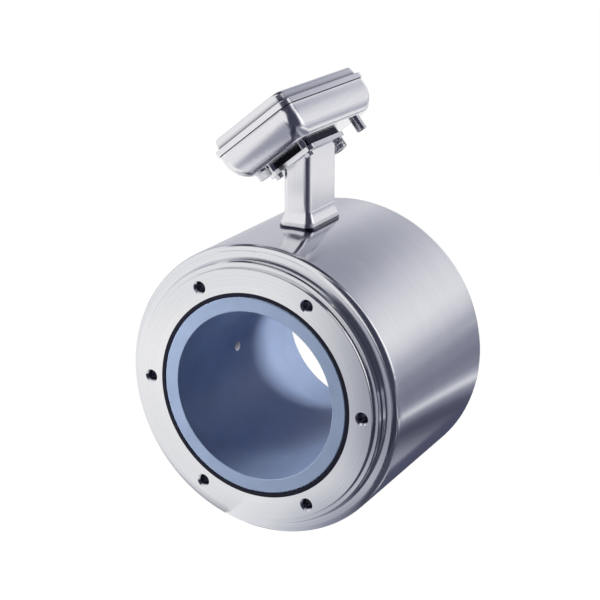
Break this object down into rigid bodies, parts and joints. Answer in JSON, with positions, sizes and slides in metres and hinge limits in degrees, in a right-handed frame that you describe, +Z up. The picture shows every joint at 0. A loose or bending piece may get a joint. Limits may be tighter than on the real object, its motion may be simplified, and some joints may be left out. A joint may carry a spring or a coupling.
{
  "type": "magnetic flow meter",
  "caption": "Wafer-type magnetic flow meter: a lined round drum with a straight bore, tapped end faces and a tilted connection box on a neck.",
  "frame": {"origin": "middle of the measuring bore, halfway between the two end faces", "axes": "+Y along the bore in the direction of flow, +Z up through the neck, +X to the right seen from the inlet"},
  "size_m": [0.259, 0.202, 0.384],
  "materials": {
    "turned_flange_steel": "turned",
    "satin_drum_steel": "circular brushed",
    "satin_head_steel": "brushed",
    "liner_fluoropolymer": "moulded gloss",
    "black_rubber": "moulded",
    "electrode_alloy": "turned",
    "tube_steel": "drawn",
    "core_steel": "rolled",
    "coil_tape": "taped winding",
    "insulator": "turned",
    "lead_sleeve": "extruded",
    "fastener_steel": "cold formed",
    "terminal_plastic": "moulded",
    "rail_steel": "pressed"
  },
  "bodies": {
    "root": {"inlet_flange_ring": "turned_flange_steel", "outlet_flange_ring": "turned_flange_steel", "inlet_end_cap": "satin_drum_steel", "outlet_end_cap": "satin_drum_steel", "housing_shell": "satin_drum_steel", "liner": "liner_fluoropolymer", "measuring_tube": "tube_steel", "inlet_gasket": "black_rubber", "outlet_gasket": "black_rubber", "upper_pole_shoe": "core_steel", "lower_pole_shoe": "core_steel", "upper_coil": "coil_tape", "lower_coil": "coil_tape", "return_band": "core_steel", "right_electrode_lead": "lead_sleeve", "left_electrode_lead": "lead_sleeve", "upper_coil_lead": "lead_sleeve", "lower_coil_lead": "lead_sleeve", "neck": "satin_head_steel", "neck_plate": "satin_head_steel", "box_gasket": "black_rubber", "box_bolts": "fastener_steel", "box_washers": "fastener_steel", "box_spacers": "fastener_steel", "box_nuts": "fastener_steel", "box_body": "satin_head_steel", "lid_seal": "black_rubber", "box_lid": "satin_head_steel", "lid_screws": "fastener_steel", "gland_body": "fastener_steel", "gland_nut": "fastener_steel", "gland_seal": "black_rubber", "gland_lock_nut": "fastener_steel", "hex_plug": "fastener_steel", "conduit_nipple": "fastener_steel", "rail_plate": "rail_steel", "terminal_block": "terminal_plastic", "terminal_screws": "fastener_steel", "left_electrode": "electrode_alloy", "left_electrode_boss": "tube_steel", "left_electrode_sleeve": "insulator", "left_electrode_springs": "fastener_steel", "left_electrode_nut": "fastener_steel", "right_electrode": "electrode_alloy", "right_electrode_boss": "tube_steel", "right_electrode_sleeve": "insulator", "right_electrode_springs": "fastener_steel", "right_electrode_nut": "fastener_steel"}
  },
  "joints": []
}
